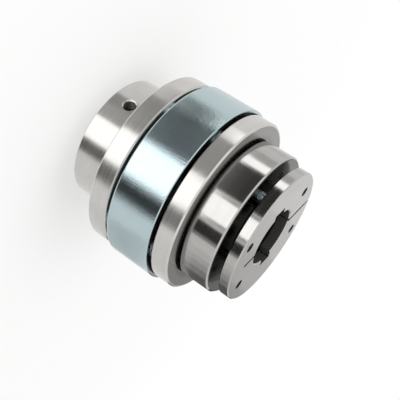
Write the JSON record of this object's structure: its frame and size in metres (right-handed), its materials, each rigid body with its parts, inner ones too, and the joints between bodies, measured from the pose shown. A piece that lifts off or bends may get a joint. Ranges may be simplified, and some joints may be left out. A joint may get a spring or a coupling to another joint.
{
  "type": "disc coupling",
  "caption": "Flexible disc coupling: keyed drive hub, lamina packs under a thin cover sleeve, and a driven hub with a split taper bushing.",
  "frame": {"origin": "centre of the drive hub's free end face, on which the coupling stands", "axes": "+Z along the shaft axis, from the drive hub to the taper bushing. +X and +Y lie across it: the set screw hole points 118 degrees from +X towards -Y."},
  "size_m": [0.096, 0.096, 0.0978],
  "materials": {
    "turned_steel": "satin",
    "bare_steel": "satin",
    "zinc_plated_steel": "satin",
    "spring_steel": "satin",
    "black_oxide_steel": "satin"
  },
  "bodies": {
    "root": {"drive_hub": "turned_steel", "set_screw": "black_oxide_steel", "driven_hub": "turned_steel", "taper_bushing": "bare_steel", "centre_ring": "turned_steel", "cover_sleeve": "zinc_plated_steel", "drive_lamina_1": "spring_steel", "drive_lamina_2": "spring_steel", "drive_lamina_3": "spring_steel", "drive_lamina_4": "spring_steel", "driven_lamina_1": "spring_steel", "driven_lamina_2": "spring_steel", "driven_lamina_3": "spring_steel", "driven_lamina_4": "spring_steel", "drive_washers": "zinc_plated_steel", "driven_washers": "zinc_plated_steel", "drive_hub_screws": "zinc_plated_steel", "driven_hub_screws": "zinc_plated_steel", "ring_bolts": "zinc_plated_steel", "clamp_screws": "zinc_plated_steel", "ring_nuts": "zinc_plated_steel"}
  },
  "joints": []
}
